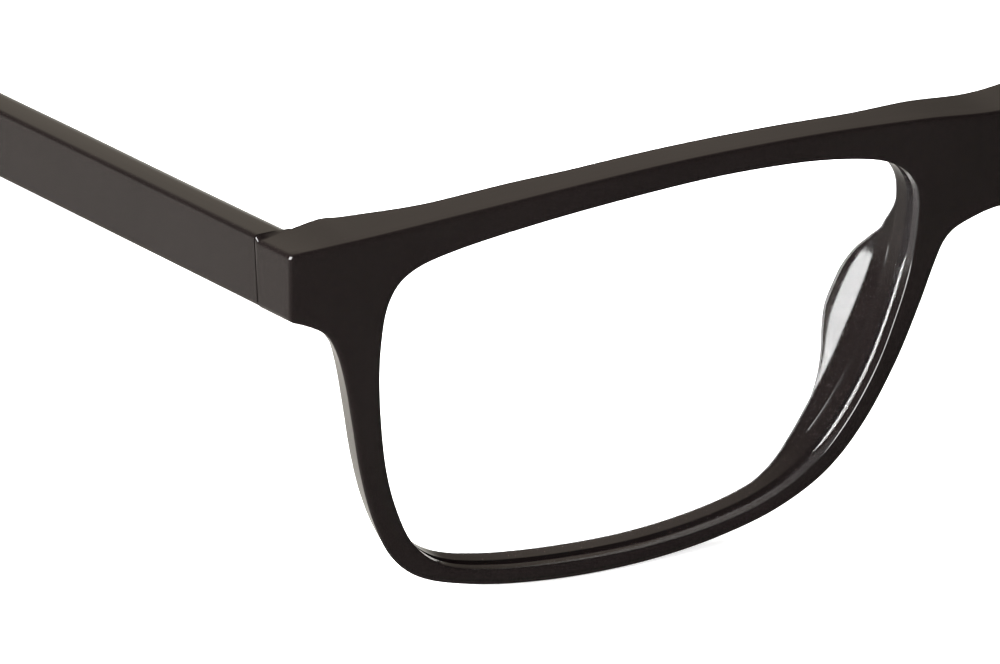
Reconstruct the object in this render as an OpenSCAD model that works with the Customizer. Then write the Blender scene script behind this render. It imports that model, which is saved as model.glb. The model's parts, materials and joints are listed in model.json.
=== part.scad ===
// Full-rim acetate eyeglasses: a wrapped front with two glazed rims, a keyless bridge, glued nose pads,
// and two temples that fold on five-barrel hinges.
// Millimetres. +Z is up, +X is the wearer's left, +Y runs back along the temples, and the glasses stand
// open on z = 0, on the bottoms of the rims and the tips of the temples.

/* [Front] */
// Radius of the face curve, seen from above
wrap_r = 380; // [300:10:500]
// Thickness of the front, from its outside face to its back
front_t = 4.2; // [3.6:0.1:4.8]
// Angle between the front and a plane square to the temples: the rims lean back below the brow line
tilt = 4.5; // [3:0.5:8]
// Half of the width across the outside corners of the end pieces
half_w = 68.2; // [67.8:0.1:68.8]
// Length of an end piece from its outside corner to the temple joint
endpiece_l = 6; // [5.5:0.1:7]

/* [Lenses] */
// Depth of the lens groove all round the opening
groove_depth = 0.6; // [0.4:0.1:0.8]
// Distance from the outside face to the front edge of the groove
groove_from_face = 1.3; // [1:0.1:1.6]
// Thickness of a lens, and the width of its groove
lens_t = 1.3; // [1:0.1:1.6]

/* [Nose pads] */
// Distance that a nose pad stands back from the rim
pad_reach = 5.4; // [4:0.1:6]
// Radius of the pad's curved rear edge
pad_edge_r = 8.3; // [7.5:0.1:9]
// Thickness of a pad at its root
pad_root_t = 2.3; // [1.8:0.1:2.6]
// Thickness of a pad near its rear edge
pad_rear_t = 1.5; // [1:0.1:2]
// Angle that the pads open towards the face
pad_splay = 22; // [15:1:30]

/* [Temples] */
// Length of a temple from the joint to its tip, measured along its middle
temple_l = 140; // [136:1:144]
// Thickness of a temple at the joint
temple_t = 4; // [3.6:0.1:4.4]
// Thickness of a temple at its tip
tip_t = 3; // [2.6:0.1:3.6]
// Height of a temple at the joint
temple_h = 6; // [5.6:0.1:6.4]
// Height of a temple at the widest part of its tip
tip_h = 8; // [7:0.1:9]
// Inward bow of a temple at its tip
temple_bow = 2; // [0:0.5:3]
// Downward slope of the temples towards their tips, as the glasses stand
slope = 2; // [1:0.5:3]
// Downward angle of the ear bend
ear_angle = 34; // [31:1:40]
// Radius of the ear bend
ear_r = 32; // [26:1:40]
// Gap between an end piece and its temple
joint_gap = 0.12; // [0.05:0.01:0.2]

/* [Hinges] */
// Outside radius of a hinge barrel
barrel_r = 1.4; // [1.3:0.05:1.5]
// Height of all five barrels together
barrel_stack = 5.4; // [5:0.1:5.6]
// Gap between neighbouring barrels
barrel_gap = 0.06; // [0.04:0.01:0.1]
// Radius of the hinge screw's shank
shank_r = 0.6; // [0.5:0.05:0.7]
// Radial clearance between the shank and the temple's barrels
turning_fit = 0.04; // [0.02:0.01:0.08]
// Radius of the steel core wire inside a temple
wire_r = 0.6; // [0.5:0.05:0.7]

/* [Hidden] */

wrap_fn = 720;
round_fn = 48;
curve_steps = 6;
plan_steps = 16;

// The front's outlines lie flat in x and z before the front is wrapped and tilted. x = 0 is the middle of
// the bridge. Each list is for one side; the other side mirrors it.
corner_top = 3.2;
corner_h = 6.1;
brow_points = [
    [0, 5.1], [8, 5.8], [17, 6.3], [25, 6.4], [33, 6.2], [42, 5.6], [52, 4.7], [61, 3.8],
    [half_w, corner_top]
];
lower_points = [
    [half_w, corner_top - corner_h], [66.4, -3.6], [64.9, -4.6], [64, -6.4], [63.3, -9.2], [62.7, -13],
    [62, -17.7], [60.9, -22.2], [59.2, -26], [56.4, -28.4], [51.5, -29.8], [46, -30.5], [40, -30.7], [34, -30.4],
    [28, -29.5], [22.5, -28], [17.6, -25.4], [13.8, -21.5], [10.6, -16.4], [8.3, -11.5], [6.9, -8.1],
    [5.7, -5.8], [3.9, -4.7], [0, -3.9]
];
opening_points = [
    [8.6, -2.4], [9.1, 0.2], [10.9, 2], [14, 3.15], [20, 4], [28, 4.2], [36, 3.75], [45, 2.8],
    [53, 1.5], [57.3, 0.1], [59.3, -2.3], [60.1, -6.5], [60.2, -11.5], [59.7, -17.5], [58.6, -22],
    [57, -25.3], [54.2, -27.5], [49.5, -28.6], [43, -29.1], [36, -29.1], [29.5, -28.4], [24, -27.1],
    [19.6, -24.9], [16.1, -21.6], [13, -17], [10.8, -12], [9.3, -7.3]
];

// Every piece is drawn level: the temples run along +Y, and the origin is the bridge's place on the face.
// The whole object is then stood on z = 0, on the lowest point of the rims and the tips of the temples,
// with y = 0 halfway between the face of the front and the back of the temples.
rim_low = 30.7;
rim_low_x = 40;
stand_y = -72.35;
stand_z = rim_low * cos(tilt - slope) - sag(rim_low_x) * sin(tilt - slope);

// Outside corner of an end piece, and the faces of the joint behind it
corner_y = sag(half_w) * cos(tilt) - corner_top * sin(tilt);
temple_top = sag(half_w) * sin(tilt) + corner_top * cos(tilt);
temple_z = temple_top - temple_h / 2;
joint_y = corner_y + endpiece_l;
temple_y = joint_y + joint_gap;

// The end piece's block starts this far ahead of the corner, inside the front, and tapers from end_ease
end_ahead = 2;
end_ease = 0.5;

// Hinge: the pin stands beside the temple's inner face, level with the joint
inner_x = half_w - temple_t;
pin_off = 0.15;
pin_x = inner_x - barrel_r - pin_off;
pin_y = joint_y;
barrel_h = (barrel_stack - 4 * barrel_gap) / 5;
leaf_t = 0.9;
leaf_h = 5;
leaf_drop = 0.72;
leaf_proud = 0.05;
leaf_inset = 0.5;
front_leaf_l = 3.6;
front_leaf_off = 0.45;
temple_leaf_l = 8.6;
front_arm_l = 3.1;
temple_arm_gap = 0.7;
arm_sink = 0.2;
temple_anchors = [3.2, 7];
anchor_apart = 2.8;
anchor_r = 0.7;
anchor_l = 1.5;
anchor_sink = 0.1;
head_r = 1.05;
head_h = 0.45;
slot_w = 0.3;
slot_depth = 0.22;

// Nose pad: where its middle meets the back of the front, its lean along the rim, how deep it starts
// inside the front, and the length of its straight root
pad_place = [9.7, -12];
pad_lean = 25;
pad_sink = 0.6;
pad_root_l = 2.6;

// Temple: lengths of the straight run, the ear bend and the tip along its middle. The tip is as long as
// brings its round end down to the surface that the glasses stand on.
bend_l = ear_r * ear_angle * PI / 180;
tip_drop = stand_z - tip_h / 2 + (temple_z - ear_r * (1 - cos(ear_angle))) * cos(slope)
    - (temple_y + temple_l - bend_l - tip_h / 2 + ear_r * sin(ear_angle)) * sin(slope);
tip_l = tip_drop / (sin(ear_angle + slope) - sin(slope)) + tip_h / 2;
straight_l = temple_l - bend_l - tip_l;
bow_start = 40;
wire_start = 12;
wire_margin = 9;
wire_sides = 12;
wire_rings = 26;
tall = 80;
wide = 15;

// How far the outside face curves back at a distance x from the middle
function sag(x) = wrap_r - sqrt(wrap_r ^ 2 - x ^ 2);

// Smooth curve from b to c, with a and d as their outer neighbours
function between(a, b, c, d, t) =
    (2 * b + (c - a) * t + (2 * a - 5 * b + 4 * c - d) * t ^ 2 + (3 * b - a - 3 * c + d) * t ^ 3) / 2;
function closed_curve(p) = let (n = len(p))
    [for (i = [0 : n - 1], k = [0 : curve_steps - 1])
        between(p[(i + n - 1) % n], p[i], p[(i + 1) % n], p[(i + 2) % n], k / curve_steps)];
function open_curve(p) = let (n = len(p))
    [for (i = [0 : n - 2], k = [0 : curve_steps - (i == n - 2 ? 0 : 1)])
        between(i == 0 ? 2 * p[0] - p[1] : p[i - 1], p[i], p[i + 1],
                i == n - 2 ? 2 * p[n - 1] - p[n - 2] : p[i + 2], k / curve_steps)];
function mirrored(p) = [for (i = [len(p) - 1 : -1 : 0]) [-p[i][0], p[i][1]]];
function without_first(p) = [for (i = [1 : len(p) - 1]) p[i]];
function unit(v) = v / norm(v);
// A clockwise closed outline moved outwards by d
function grown(p, d) = let (n = len(p))
    [for (i = [0 : n - 1]) let (t = unit(p[(i + 1) % n] - p[(i + n - 1) % n])) p[i] + d * [-t[1], t[0]]];

// A flat outline in x and z, carried through the thickness of the front
module through(points) {
    translate([0, wide, 0])
        rotate([90, 0, 0])
            linear_extrude(wide + front_t)
                polygon(points);
}

// The curved layer of the front between two depths behind its outside face
module layer(from, to) {
    translate([0, wrap_r, -tall / 2])
        difference() {
            cylinder(r = wrap_r - from, h = tall, $fn = wrap_fn);
            translate([0, 0, -1])
                cylinder(r = wrap_r - to, h = tall + 2, $fn = wrap_fn);
        }
}

module placed_front() {
    rotate([tilt, 0, 0])
        children();
}

module standing() {
    translate([0, stand_y, stand_z])
        rotate([-slope, 0, 0])
            children();
}

module both_sides() {
    children();
    mirror([1, 0, 0])
        children();
}

module right_side() {
    mirror([1, 0, 0])
        children();
}

// Solid corner block that turns back from the front to meet the temple
module end_piece() {
    intersection() {
        translate([inner_x, 0, 0])
            rotate([90, 0, 90])
                linear_extrude(temple_t)
                    polygon([
                        [corner_y - end_ahead, temple_top], [joint_y, temple_top],
                        [joint_y, temple_top - temple_h], [corner_y + end_ease, temple_top - corner_h],
                        [corner_y - end_ahead, temple_top - corner_h]
                    ]);
        placed_front()
            translate([0, wrap_r, -tall / 2])
                cylinder(r = wrap_r, h = tall, $fn = wrap_fn);
    }
}

module front_frame() {
    outline = concat(
        open_curve(concat(mirrored(brow_points), without_first(brow_points))),
        open_curve(concat(lower_points, without_first(mirrored(lower_points)))));
    opening = closed_curve(opening_points);
    color([0.08, 0.07, 0.07])
        difference() {
            union() {
                placed_front()
                    intersection() {
                        through(outline);
                        layer(0, front_t);
                    }
                both_sides()
                    end_piece();
            }
            both_sides() {
                placed_front() {
                    through(opening);
                    lens_blank();
                }
                front_leaf();
            }
        }
}

module lens_blank() {
    intersection() {
        through(grown(closed_curve(opening_points), groove_depth));
        layer(groove_from_face, groove_from_face + lens_t);
    }
}

module lens() {
    color([0.9, 0.94, 0.96, 0.35])
        placed_front()
            lens_blank();
}

// Glued wing behind the nasal part of a rim: a splayed wedge with a round rear edge
module nose_pad() {
    reach = pad_reach + pad_sink;
    rear_x = reach * tan(pad_splay);
    color([0.08, 0.07, 0.07])
        placed_front()
            difference() {
                translate([pad_place[0], front_t - pad_sink, pad_place[1]])
                    rotate([0, -pad_lean, 0])
                        intersection() {
                            translate([0, 0, -wide])
                                linear_extrude(2 * wide)
                                    polygon([
                                        [-pad_root_t / 2, 0], [pad_root_t / 2, 0],
                                        [pad_root_t / 2, pad_root_l],
                                        [rear_x + pad_rear_t / 2, reach], [rear_x - pad_rear_t / 2, reach]
                                    ]);
                            translate([-wide, reach - pad_edge_r, 0])
                                rotate([0, 90, 0])
                                    cylinder(r = pad_edge_r, h = 2 * wide, $fn = round_fn);
                        }
                layer(-pad_edge_r, front_t);
            }
}

module barrel(place, r, h) {
    translate([pin_x, pin_y, temple_z - barrel_stack / 2 + place * (barrel_h + barrel_gap)])
        cylinder(r = r, h = h, $fn = round_fn);
}

// A knuckle's barrel and the arm that joins it to its leaf
module knuckle(place, arm_from, arm_size) {
    barrel(place, barrel_r, barrel_h);
    translate([arm_from[0], arm_from[1], temple_z - barrel_stack / 2 + place * (barrel_h + barrel_gap)])
        cube([arm_size[0], arm_size[1], barrel_h]);
}

// Front leaf: three barrels on a plate sunk flush into the back of the end piece, with two anchor pegs
module front_leaf() {
    seat_x = pin_x - front_leaf_off;
    placed_front()
        translate([seat_x, sag(seat_x) + front_t, temple_z - leaf_drop])
            rotate([0, 0, asin(seat_x / wrap_r)]) {
                translate([-front_leaf_l / 2, -leaf_t, -leaf_h / 2])
                    cube([front_leaf_l, leaf_t + leaf_proud, leaf_h]);
                for (z = [-anchor_apart / 2, anchor_apart / 2])
                    translate([0, anchor_sink - leaf_t, z])
                        rotate([90, 0, 0])
                            cylinder(r = anchor_r, h = anchor_l, $fn = round_fn);
            }
    for (place = [0, 2, 4])
        knuckle(place, [pin_x - barrel_r, pin_y - front_arm_l], [2 * barrel_r - pin_off, front_arm_l]);
}

module front_hinge() {
    color([0.72, 0.72, 0.74])
        difference() {
            front_leaf();
            screw_blank(0);
        }
}

// Temple leaf: two barrels on a plate sunk flush into the temple's inner face, with two anchor pegs
module temple_leaf() {
    translate([inner_x, temple_y + leaf_inset, temple_z - leaf_h / 2])
        cube([leaf_t, temple_leaf_l, leaf_h]);
    for (y = temple_anchors)
        translate([inner_x + leaf_t - anchor_sink, temple_y + y, temple_z])
            rotate([0, 90, 0])
                cylinder(r = anchor_r, h = anchor_l, $fn = round_fn);
    for (place = [1, 3])
        knuckle(place, [pin_x, pin_y + temple_arm_gap],
                [inner_x - pin_x + arm_sink, temple_arm_gap + leaf_t]);
}

module temple_hinge() {
    color([0.72, 0.72, 0.74])
        difference() {
            temple_leaf();
            screw_blank(turning_fit);
        }
}

// Screw: its slotted head sits in the top front barrel and its end is held in the bottom one
module screw_blank(clearance) {
    stack_top = temple_z + barrel_stack / 2;
    translate([pin_x, pin_y, stack_top - barrel_stack])
        cylinder(r = shank_r + clearance, h = barrel_stack, $fn = round_fn);
    translate([pin_x, pin_y, stack_top - head_h])
        cylinder(r = head_r, h = head_h + 0.01, $fn = round_fn);
}

module hinge_screw() {
    stack_top = temple_z + barrel_stack / 2;
    color([0.8, 0.8, 0.82])
        difference() {
            union() {
                translate([pin_x, pin_y, stack_top - barrel_stack])
                    cylinder(r = shank_r, h = barrel_stack, $fn = round_fn);
                translate([pin_x, pin_y, stack_top - head_h])
                    cylinder(r = head_r, h = head_h, $fn = round_fn);
            }
            translate([pin_x - head_r - 1, pin_y - slot_w / 2, stack_top - slot_depth])
                cube([2 * head_r + 2, slot_w, slot_depth + 1]);
        }
}

// The temple's middle line in y and z at a distance s from the joint, and its direction there
function bend_turn(s) = min(ear_angle, max(0, (s - straight_l) / ear_r * 180 / PI));
function middle(s) = let (a = bend_turn(s), past = max(0, s - straight_l - bend_l))
    [temple_y + min(s, straight_l) + ear_r * sin(a) + past * cos(a),
     temple_z - ear_r * (1 - cos(a)) - past * sin(a)];
function side_normal(s) = let (a = bend_turn(s)) [sin(a), cos(a)];
// Half of the temple's height: it swells towards the tip and closes in a half circle
function swell(s) = let (u = max(0, (s - straight_l / 2) / (temple_l - tip_h / 2 - straight_l / 2)))
    temple_h / 2 + (tip_h - temple_h) / 2 * (3 * min(u, 1) ^ 2 - 2 * min(u, 1) ^ 3);
function half_height(s) = let (e = max(0, s - temple_l + tip_h / 2) / (tip_h / 2))
    swell(s) * sqrt(max(0, 1 - e ^ 2));
// Inward bow and thickness at a distance y behind the joint
function bow(y) = temple_bow * (max(0, y - bow_start) / (temple_l - bow_start)) ^ 2;
function thick(y) = temple_t + (tip_t - temple_t) * y / temple_l;

// Side view of a temple, in y and z
function temple_stations() = concat(
    [0, bow_start], [for (k = [0 : 5]) bow_start + (straight_l - bow_start) * (k + 1) / 6],
    [for (k = [1 : 8]) straight_l + bend_l * k / 8],
    [for (k = [1 : 4]) straight_l + bend_l + (tip_l - tip_h / 2) * k / 4],
    [for (k = [1 : 8]) temple_l - tip_h / 2 + tip_h / 2 * sin(90 * k / 8)]);
function temple_side() = let (s = temple_stations(), n = len(s)) concat(
    [for (i = [0 : n - 1]) middle(s[i]) + half_height(s[i]) * side_normal(s[i])],
    [for (i = [n - 2 : -1 : 0]) middle(s[i]) - half_height(s[i]) * side_normal(s[i])]);
// Plan view of a temple, in x and y
function temple_plan() = concat(
    [for (k = [0 : plan_steps]) let (y = k * temple_l / plan_steps) [half_w - bow(y), temple_y + y]],
    [for (k = [plan_steps : -1 : 0]) let (y = k * temple_l / plan_steps)
        [half_w - bow(y) - thick(y), temple_y + y]]);

module temple() {
    color([0.08, 0.07, 0.07])
        difference() {
            intersection() {
                translate([half_w - wide, 0, 0])
                    rotate([90, 0, 90])
                        linear_extrude(2 * wide)
                            polygon(temple_side());
                translate([0, 0, -tall / 2])
                    linear_extrude(tall)
                        polygon(temple_plan());
            }
            temple_leaf();
            core_blank();
        }
}

// Core wire: a round wire along the middle of the temple, following its bow and its ear bend
module core_blank() {
    last = temple_l - wire_margin;
    rings = [for (k = [0 : wire_rings - 1])
        let (s = wire_start + (last - wire_start) * k / (wire_rings - 1),
             m = middle(s), n = side_normal(s), y = m[0] - temple_y)
        for (j = [0 : wire_sides - 1]) let (a = 360 * j / wire_sides)
            [half_w - bow(y) - thick(y) / 2 + wire_r * cos(a),
             m[0] + wire_r * sin(a) * n[0], m[1] + wire_r * sin(a) * n[1]]];
    sides = [for (k = [0 : wire_rings - 2], j = [0 : wire_sides - 1]) let (q = (j + 1) % wire_sides)
        [k * wire_sides + j, k * wire_sides + q, (k + 1) * wire_sides + q, (k + 1) * wire_sides + j]];
    polyhedron(rings, concat(
        [[for (j = [wire_sides - 1 : -1 : 0]) j]], sides,
        [[for (j = [0 : wire_sides - 1]) (wire_rings - 1) * wire_sides + j]]));
}

module core_wire() {
    color([0.6, 0.6, 0.62])
        core_blank();
}

standing() front_frame();
standing() right_side() lens();  // right_lens
standing() lens();  // left_lens
standing() right_side() nose_pad();  // right_nose_pad
standing() nose_pad();  // left_nose_pad
standing() right_side() front_hinge();  // right_front_hinge
standing() front_hinge();  // left_front_hinge
standing() right_side() hinge_screw();  // right_hinge_screw
standing() hinge_screw();  // left_hinge_screw
standing() right_side() temple_hinge();  // right_temple_hinge
standing() temple_hinge();  // left_temple_hinge
standing() right_side() temple();  // right_temple
standing() temple();  // left_temple
standing() right_side() core_wire();  // right_core_wire
standing() core_wire();  // left_core_wire
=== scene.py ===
"""Black full-rim acetate eyeglasses: the looks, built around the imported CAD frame.

Sizes are in millimetres until a point is placed in the row frame, where they become metres.
The front is drawn flat in x and z, as its sheet is cut, then wrapped, tilted and stood on the floor.
"""

import json
import math

import bmesh
import bpy
import numpy as np
from mathutils import Matrix, Vector
from mathutils.geometry import delaunay_2d_cdt


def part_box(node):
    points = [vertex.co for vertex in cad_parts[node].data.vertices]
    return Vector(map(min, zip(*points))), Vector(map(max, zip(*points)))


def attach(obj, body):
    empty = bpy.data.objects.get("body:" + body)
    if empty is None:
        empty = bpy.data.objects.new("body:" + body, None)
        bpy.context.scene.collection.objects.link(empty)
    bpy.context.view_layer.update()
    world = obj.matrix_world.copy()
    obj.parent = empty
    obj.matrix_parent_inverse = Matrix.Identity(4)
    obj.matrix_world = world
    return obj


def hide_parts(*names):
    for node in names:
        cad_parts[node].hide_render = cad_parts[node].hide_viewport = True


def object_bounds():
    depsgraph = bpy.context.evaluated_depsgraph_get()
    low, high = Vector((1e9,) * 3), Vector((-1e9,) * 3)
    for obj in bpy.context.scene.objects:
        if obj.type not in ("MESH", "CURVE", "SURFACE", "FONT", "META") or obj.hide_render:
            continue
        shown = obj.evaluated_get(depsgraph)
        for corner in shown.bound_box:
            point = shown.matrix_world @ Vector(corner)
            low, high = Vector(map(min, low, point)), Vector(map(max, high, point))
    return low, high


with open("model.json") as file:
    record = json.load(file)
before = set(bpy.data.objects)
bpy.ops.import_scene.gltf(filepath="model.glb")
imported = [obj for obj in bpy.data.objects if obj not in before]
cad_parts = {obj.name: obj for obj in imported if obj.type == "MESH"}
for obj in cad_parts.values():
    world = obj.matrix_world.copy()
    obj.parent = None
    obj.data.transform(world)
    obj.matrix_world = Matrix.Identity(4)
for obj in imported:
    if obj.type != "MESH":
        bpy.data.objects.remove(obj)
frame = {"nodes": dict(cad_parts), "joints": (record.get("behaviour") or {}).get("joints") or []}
cad_low, cad_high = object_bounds()

# ---------------------------------------------------------------- sizes shared with the CAD part

MM = 0.001
HALF_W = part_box("front_frame")[1].x / MM
WRAP_R = 380.0           # radius that the front is wrapped to
FRONT_T = 4.2            # thickness of its sheet
TILT = math.radians(4.5)     # how far its lower edge leans back
SLOPE = math.radians(2)      # how far the temples slope down to the back
BROW_END = 3.2           # height of the brow's outer end on the flat front
ENDPIECE_L = 6.0         # from the front's outer corner back to the joint
JOINT_GAP = 0.12
TEMPLE_T = 4.0           # thickness of a temple at the joint, and at its end
TIP_T = 3.0
TEMPLE_H = 6.0           # height of a CAD temple at the joint, and at its end
TIP_H = 8.0
TEMPLE_L = 140.0         # length of its middle line, bend included
TEMPLE_BOW = 2.0         # how far its end bows inwards, from BOW_START behind the joint on
BOW_START = 40.0
EAR_ANGLE = math.radians(34)
EAR_R = 32.0             # radius of the bend over the ear
INNER_X = HALF_W - TEMPLE_T


def sag(x):
    """How far the outside face curves back at a distance x from the middle."""
    return WRAP_R - np.sqrt(WRAP_R ** 2 - np.square(x))


# Pieces are drawn level, with the bridge as origin and the temples along +Y, and then stood on the floor.
CORNER_Y = sag(HALF_W) * math.cos(TILT) - BROW_END * math.sin(TILT)
JOINT_Y = CORNER_Y + ENDPIECE_L
TEMPLE_Y = JOINT_Y + JOINT_GAP
TEMPLE_TOP = sag(HALF_W) * math.sin(TILT) + BROW_END * math.cos(TILT)
TEMPLE_Z = TEMPLE_TOP - TEMPLE_H / 2
FOLD_POINT = next(j["pos_m"] for j in frame["joints"] if j["name"] == "left_temple_fold")
STAND_Y = FOLD_POINT[1] / MM - JOINT_Y * math.cos(SLOPE) - TEMPLE_Z * math.sin(SLOPE)
STAND_Z = FOLD_POINT[2] / MM + JOINT_Y * math.sin(SLOPE) - TEMPLE_Z * math.cos(SLOPE)


def stand(x, y, z):
    """Row-frame points, in metres, for level points in millimetres."""
    return np.stack([x, STAND_Y + y * math.cos(SLOPE) + z * math.sin(SLOPE),
                     STAND_Z - y * math.sin(SLOPE) + z * math.cos(SLOPE)], axis=1) * MM


# Points (x, z) of the flat front's left half: brow outwards, lower edge inwards, and opening all round
BROW = [(0, 5.1), (8, 5.8), (17, 6.3), (25, 6.4), (33, 6.2), (42, 5.6), (52, 4.7), (61, 3.8),
        (HALF_W, BROW_END)]
LOWER = [(HALF_W, -2.9), (66.4, -3.6), (64.9, -4.6), (64, -6.4), (63.3, -9.2), (62.7, -13),
         (62, -17.7), (60.9, -22.2), (59.2, -26), (56.4, -28.4), (51.5, -29.8), (46, -30.5),
         (40, -30.7), (34, -30.4), (28, -29.5), (22.5, -28), (17.6, -25.4), (13.8, -21.5),
         (10.6, -16.4), (8.3, -11.5), (6.9, -8.1), (5.7, -5.8), (3.9, -4.7), (0, -3.9)]
OPENING = [(8.6, -2.4), (9.1, 0.2), (10.9, 2), (14, 3.15), (20, 4), (28, 4.2), (36, 3.75),
           (45, 2.8), (53, 1.5), (57.3, 0.1), (59.3, -2.3), (60.1, -6.5), (60.2, -11.5),
           (59.7, -17.5), (58.6, -22), (57, -25.3), (54.2, -27.5), (49.5, -28.6), (43, -29.1),
           (36, -29.1), (29.5, -28.4), (24, -27.1), (19.6, -24.9), (16.1, -21.6), (13, -17),
           (10.8, -12), (9.3, -7.3)]

# ---------------------------------------------------------------- sizes that only the looks have

EDGE_R = 0.34            # rounding where the face of the front meets its sides
CORNER_R = 0.45          # rounding along the outside edges of end pieces and temples
BACK_R = 0.2             # rounding along the back edges of the front
JOINT_R = 0.05           # rounding round the two faces of each joint
LIP_R = 0.16             # rounding where the face meets an opening
BACK_LIP_R = 0.35        # rounding where the back meets an opening
SIDE_DRAFT = 0.55        # how far the rims' temporal sides slope in from the face to the back
LEAST_DRAFT = 0.12       # how far the rest of the outer side slopes in
SIDE_DEPTHS = (1.2, 2.4)   # depths of the rows of points on the outer side
GROOVE_FROM = 1.05       # depth at which the lens groove starts
GROOVE_W = 1.1
GROOVE_D = 0.5
GROOVE_LIP = 0.04        # a row of points this far before and after the groove keeps its edges crisp
LENS_CLEAR = 0.08        # gap between a lens and its groove
LENS_BULGE = 0.9         # how far the middle of a lens stands forward of its edge curve
BULGE_FADE = 1.35        # squared distance from its middle, in half openings, at which the bulge is gone
BEVEL_CUT = 0.05         # a lens's rounded bevel is this much higher than its groove is deep

# The front is thicker than its sheet behind the outer brow, the end pieces and the bridge.
REAR_FROM = 3.3          # depth from which the extra thickness counts
BROW_THICK = 0.45
BROW_RAMP = (40, 48)     # distances from the middle over which the brow's comes in
END_THICK = 2.0
END_RAMP = (53, 64)      # distances from the middle over which the end pieces' comes in
END_RISE = (-7, -3.4)    # heights over which both come in
END_STEP = 0.15          # the thick part of an end piece stops this far before the joint
BRIDGE_THICK = 1.65
BRIDGE_HALF = 3          # the bridge has its full thickness within this distance from the middle
BRIDGE_FADE = (7, 16)    # and that of the sheet from these on, the first low down, the second at the brow
BRIDGE_RISE = (-1, 3)    # heights between which the first turns into the second

# Where the flat front changes character, as ranges of the distance from the middle and of the height
LEVEL_X = (63.0, 67.5)      # depth turns level with the temples
LEVEL_Z = (-8, -4)
ENDPIECE_X = (61.5, 63.5)   # the outer side loses its slope and its rounding at the back
ENDPIECE_LOW = -5
TEMPORAL_X = (54, 60)       # the outer side has its full slope, below the end pieces
TEMPORAL_Z = (-7, -4.5)

ARM_H = 6.45             # height of the temples and of the end pieces at the joint
ARM_RISE = 0.12          # how far their middle stands above that of the CAD temples
ARM_TOP = TEMPLE_Z + ARM_RISE + ARM_H / 2
RISE_FADE_FROM = 55      # distance from the joint from which that rise fades out
END_FACE = 0.6           # share of the joint face's height that has points between its corners
TOP_FLAT = 0.17          # share of the thickness, from the outer side, up to which top and bottom are flat
METAL_EDGE_R = 0.07      # rounding of the edges of hinges and screws
LEAF_PROUD = 0.06        # the hinge leaves stand this far out of the acetate

# The temples are crowned towards their inner side. The values hold at the joint, and from CROWN_L back.
CROWN_DROP = (1.05, 0.6)   # how much the crown takes off top and bottom
CROWN_W = (2.3, 3.1)       # over what width it does so
CROWN_L = 45

BLOCK_LOW = LOWER[0][1]  # height of the low corner of an end piece, where its return block starts
BLOCK_SLACK = 0.02       # points this far below that corner still belong to the block
BLOCK_SINK = 0.05        # how far the block's inner side dips below that corner
POCKET = ((60.9, -3.1), (64.88, 2.8))   # two corners of the hinge's recess in the back of an end piece
POCKET_R = 0.5
POCKET_SINK = 0.06       # its floor lies this far into the sheet
POCKET_DRAFT = 0.05      # how far its walls slope in
POCKET_RIM = 0.97        # share of the extra thickness at which they have done so

# Spacing of the points along outlines and over flat regions
OUTLINE_STEP = 0.7
OPENING_STEP = 0.45
POCKET_STEP = 0.45
PAD_STEP = 0.35
TIP_STEP = 1.2
TEMPLE_GRID = 1.6
FRONT_GRID = 1.2
POCKET_GRID = 1.0
LENS_GRID = 2.0
GRID_CLEAR = 0.55        # share of the spacing that keeps grid points off a region's border


# ---------------------------------------------------------------- curves in a plane

def between(a, b, c, d, t):
    """The point at a share t of the way from b to c, on a smooth curve through four points."""
    return (2 * b + (c - a) * t + (2 * a - 5 * b + 4 * c - d) * t ** 2
            + (3 * b - a - 3 * c + d) * t ** 3) / 2


def smooth_curve(points, closed, steps=14):
    """A smooth curve through points, as an array. An open curve keeps both its ends."""
    p = np.array(points, float)
    n = len(p)
    if closed:
        padded = np.vstack([p[-1:], p, p[:2]])
    else:
        padded = np.vstack([2 * p[:1] - p[1:2], p, 2 * p[-1:] - p[-2:-1]])
    spans = n if closed else n - 1
    made = [between(*padded[i:i + 4], t) for i in range(spans)
            for t in np.linspace(0, 1, steps, endpoint=False)]
    return np.array(made if closed else made + [p[-1]])


def even(points, spacing, closed):
    """The same curve with its points evenly spaced."""
    p = np.vstack([points, points[:1]]) if closed else np.array(points)
    run = np.concatenate([[0], np.cumsum(np.linalg.norm(np.diff(p, axis=0), axis=1))])
    count = max(2, round(run[-1] / spacing))
    at = np.linspace(0, run[-1], count, endpoint=False) if closed else np.linspace(0, run[-1], count + 1)
    return np.stack([np.interp(at, run, p[:, k]) for k in (0, 1)], axis=1)


def corner(before, at, after, radius, steps=6):
    """An arc of that radius in place of a right-angled corner."""
    u = (before - at) / np.linalg.norm(before - at)
    v = (after - at) / np.linalg.norm(after - at)
    centre = at + radius * (u + v)
    return np.array([centre - radius * (v * math.cos(a) + u * math.sin(a))
                     for a in np.linspace(0, math.pi / 2, steps)])


def fillet(radius, steps=5):
    """Offsets and depths round a quarter circle, from an inset face to the side below it."""
    turn = np.linspace(0, math.pi / 2, steps + 1)
    return [(radius * (1 - math.sin(a)), radius * (1 - math.cos(a))) for a in turn]


def smoothstep(low, high, x):
    """A smooth rise from 0 to 1 as x goes from low to high."""
    t = np.clip((np.asarray(x, float) - low) / (high - low), 0, 1)
    return t * t * (3 - 2 * t)


def mirrored(points):
    """A curve's mirror image across the middle, in the opposite order."""
    return np.array(points, float)[::-1] * [-1, 1]


def signed_area(loop):
    """The area inside a closed loop, negative where the loop runs clockwise."""
    x, y = loop[:, 0], loop[:, 1]
    return float(np.sum(x * np.roll(y, -1) - np.roll(x, -1) * y)) / 2


def clockwise(loop):
    """1 where a closed loop runs clockwise, and -1 where it does not: the way to its inner side."""
    return 1 if signed_area(loop) < 0 else -1


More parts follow.
